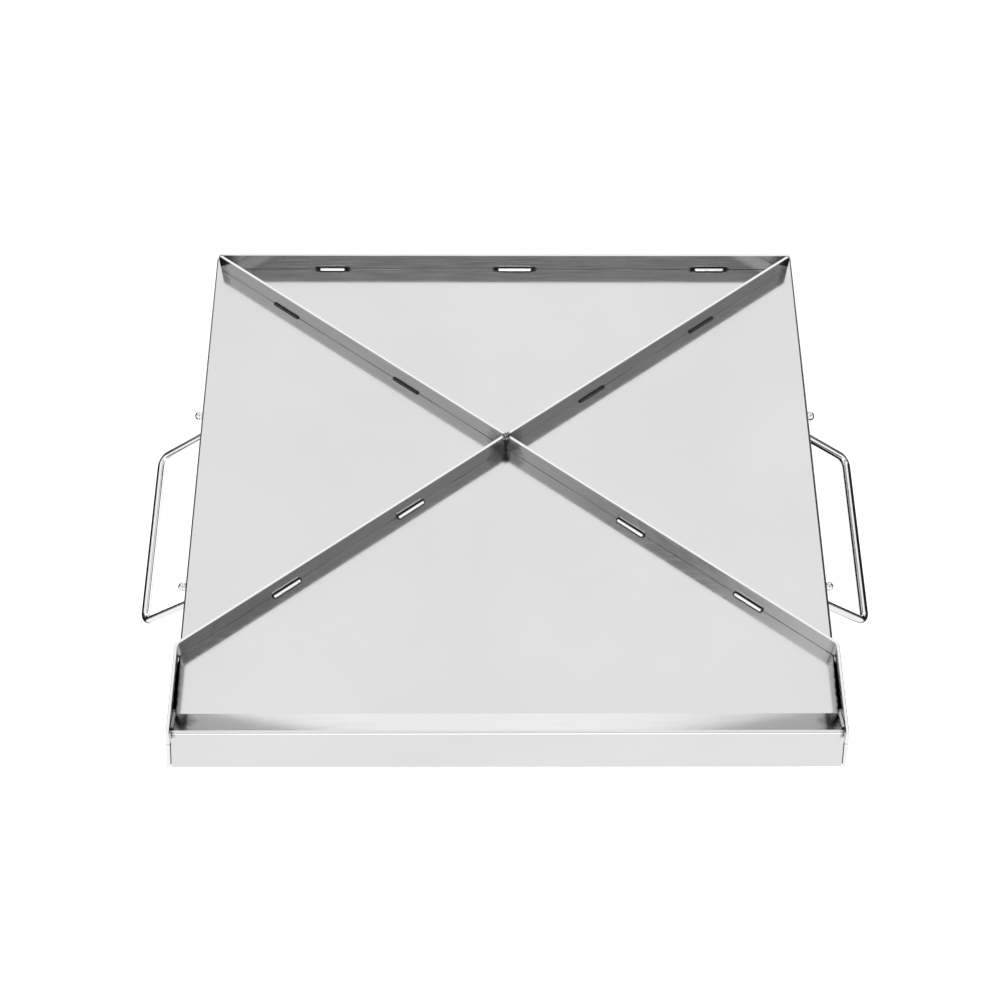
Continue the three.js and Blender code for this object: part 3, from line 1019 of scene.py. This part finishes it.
def hub_bead():
    """The upright bead in the front corner of the crossing, dark as painted shade, and the knot
    over it.
    """
    left = arm_direction("front", -1)
    right = arm_direction("front", 1)
    corner_y = HUB_Y - BAR / 2 / abs(right.x)
    start = Vector((0, corner_y, PLATE_Z + GAP))
    end = Vector((0, corner_y, RIDGE_Z - GAP))
    stations = [(start, AXIS_Z), (end, AXIS_Z)]
    piece = bead("bead_hub", stations, left, lambda heading: right, HUB_BEAD_LEG)
    finished(piece, "griddle", WELD_IN_PAINTED_SHADE, ["hub_weld"])
    finished(hub_knot(), "griddle", GREY_WELD, ["hub_weld"])


def make_object():
    """The pan, the bars, the welds and the two handles."""
    finished(pan(), "griddle", SHEET_STEEL,
             ["deck_sheet", "side_panel_left", "side_panel_right"])
    make_bars()
    make_welds()
    for hand in HANDS:
        finished(handle(hand), f"handle_{hand}", WIRE_STEEL, [f"handle_{hand}"])


# ---------------------------------------------------------------- studio

WHITE = (1, 1, 1, 1)

CAMERA_PITCH = math.radians(60)
CAMERA_TURN = math.radians(-0.47)
CAMERA_LENS = 62.6
CAMERA_HEIGHT = 1109.5 * MM
CAMERA_BACK = 656.7 * MM
CAMERA_SIDE = -15 * MM
SENSOR_WIDTH = 36

# What the steel sees of the light table: white in front of the handles, and behind their front
# legs a bright field under the pan's left half, dark all round it, and light again at the rear
TABLE_FIELD_LEFT = -0.272
TABLE_FIELD_RIGHT = 0.03
TABLE_FIELD_FRONT = -0.085
TABLE_FIELD_BACK = 0.2
TABLE_FIELD_LIGHT = 1.35
TABLE_EDGE = 0.006
TABLE_DARK = 0.015
TABLE_REAR_EDGE = (0.265, 0.33)
TABLE_REAR_LIGHT = 0.8
FLOOR_SIZE = 30
FLOOR_TONE = grey(0.8)
FLOOR_ROUGHNESS = 0.9
FLOOR_GLOW = 0.7

# Soft patches of the room that the steel mirrors: direction, inner and outer angle, brightness
ROOM_PATCHES = [
    # Brighter lamps ahead and behind
    ((0, 0.97, 0.25), 3, 12, 1.5),
    ((0, -0.87, 0.5), 15, 28, 1.9),
    # Dark openings at both sides, near the horizon and, on the right, higher up
    ((-0.88, 0.44, 0.18), 21, 31, 0.01),
    ((0.88, 0.42, 0.18), 18, 30, 0.01),
    ((0.45, 0.46, 0.765), 6, 8, 0.02),
    ((0.62, 0.48, 0.62), 9, 13, 0.02),
    # Grey ceiling panels that the uprights mirror through the plate
    ((-0.16, -0.61, 0.78), 6, 11, 0.25),
    ((0.0, -0.61, 0.79), 6, 11, 0.25),
    ((0.16, -0.61, 0.78), 6, 11, 0.25),
    ((0.4, -0.24, 0.885), 8, 13, 0.16),
    ((0.52, -0.13, 0.845), 8, 13, 0.28),
    ((0.62, -0.03, 0.785), 8, 13, 0.28),
    ((-0.46, -0.2, 0.865), 5, 8, 0.12),
    ((-0.57, -0.1, 0.815), 7, 12, 0.62),
]


def make_camera():
    """In front of the plate's middle, looking steeply down on it."""
    data = bpy.data.cameras.new("camera")
    data.lens = CAMERA_LENS
    data.sensor_width = SENSOR_WIDTH
    camera = bpy.data.objects.new("camera", data)
    bpy.context.scene.collection.objects.link(camera)
    camera.location = (CAMERA_SIDE, -CAMERA_BACK, PLATE_Z + CAMERA_HEIGHT)
    tilt = Matrix.Rotation(math.pi / 2 - CAMERA_PITCH, 3, "X")
    turn = Matrix.Rotation(CAMERA_TURN, 3, "Y")
    camera.rotation_euler = (tilt @ turn).to_euler()
    bpy.context.scene.camera = camera


def table_light(tree):
    """How bright each spot of the light table is to the steel."""
    place = tree.nodes.new("ShaderNodeTexCoord")
    split = tree.nodes.new("ShaderNodeSeparateXYZ")
    tree.links.new(place.outputs["Object"], split.inputs["Vector"])

    def beyond(axis, start):
        return add_range(tree, split.outputs[axis], 0, 1, (start, start + TABLE_EDGE))

    across = add_maths(
        tree, "SUBTRACT", beyond("X", TABLE_FIELD_LEFT), beyond("X", TABLE_FIELD_RIGHT)
    )
    field = add_maths(tree, "SUBTRACT", across, beyond("Y", TABLE_FIELD_BACK))
    level = add_range(tree, field, TABLE_DARK, TABLE_FIELD_LIGHT, (0, 1))
    rear = add_range(tree, split.outputs["Y"], 0, TABLE_REAR_LIGHT, TABLE_REAR_EDGE)
    level = add_maths(tree, "MAXIMUM", level, rear)
    behind = beyond("Y", TABLE_FIELD_FRONT)
    front = add_maths(tree, "SUBTRACT", 1.0, behind)
    return add_maths(tree, "ADD", front, add_maths(tree, "MULTIPLY", level, behind))


def make_floor():
    """A white light table: the camera sees it white throughout, the steel sees where it ends."""
    bpy.ops.mesh.primitive_plane_add(size=FLOOR_SIZE, location=(0, 0, 0))
    floor = bpy.context.object
    floor.name = "floor"
    material = bpy.data.materials.new("floor")
    material.use_nodes = True
    tree = material.node_tree
    shader = tree.nodes["Principled BSDF"]
    shader.inputs["Base Color"].default_value = (*FLOOR_TONE, 1)
    shader.inputs["Roughness"].default_value = FLOOR_ROUGHNESS
    shader.inputs["Emission Color"].default_value = WHITE
    shader.inputs["Emission Strength"].default_value = FLOOR_GLOW
    glow = tree.nodes.new("ShaderNodeEmission")
    glow.inputs["Color"].default_value = WHITE
    tree.links.new(table_light(tree), glow.inputs["Strength"])
    ray = tree.nodes.new("ShaderNodeLightPath")
    pick = tree.nodes.new("ShaderNodeMixShader")
    tree.links.new(ray.outputs["Is Glossy Ray"], pick.inputs["Fac"])
    tree.links.new(shader.outputs["BSDF"], pick.inputs[1])
    tree.links.new(glow.outputs["Emission"], pick.inputs[2])
    output = tree.nodes["Material Output"]
    tree.links.new(pick.outputs["Shader"], output.inputs["Surface"])
    floor.data.materials.append(material)


def add_blend(tree, factor, first, second):
    """Mixes two brightnesses; each is a number or a socket."""
    blend = tree.nodes.new("ShaderNodeMix")
    blend.data_type = "FLOAT"
    tree.links.new(factor, blend.inputs["Factor"])
    for slot, value in (("A", first), ("B", second)):
        if isinstance(value, bpy.types.NodeSocket):
            tree.links.new(value, blend.inputs[slot])
        else:
            blend.inputs[slot].default_value = value
    return blend.outputs["Result"]


def room_light(tree):
    """How bright the room is in each direction: even, with the patches laid over one another."""
    place = tree.nodes.new("ShaderNodeTexCoord")
    light = 1.0
    for direction, inner, outer, level in ROOM_PATCHES:
        toward = tree.nodes.new("ShaderNodeVectorMath")
        toward.operation = "DOT_PRODUCT"
        toward.inputs[1].default_value = Vector(direction).normalized()
        tree.links.new(place.outputs["Generated"], toward.inputs[0])
        patch = tree.nodes.new("ShaderNodeMapRange")
        patch.interpolation_type = "SMOOTHSTEP"
        patch.inputs["From Min"].default_value = math.cos(math.radians(outer))
        patch.inputs["From Max"].default_value = math.cos(math.radians(inner))
        tree.links.new(toward.outputs["Value"], patch.inputs["Value"])
        light = add_blend(tree, patch.outputs["Result"], light, level)
    return light


def make_world():
    """An even white studio, in which the steel mirrors the room's patches."""
    world = bpy.data.worlds.new("studio")
    world.use_nodes = True
    bpy.context.scene.world = world
    tree = world.node_tree
    background = tree.nodes["Background"]
    background.inputs["Color"].default_value = WHITE
    ray = tree.nodes.new("ShaderNodeLightPath")
    seen = add_blend(tree, ray.outputs["Is Glossy Ray"], 1.0, room_light(tree))
    tree.links.new(seen, background.inputs["Strength"])
    bpy.context.scene.view_settings.view_transform = "Standard"


make_camera()
make_floor()
make_world()
make_object()
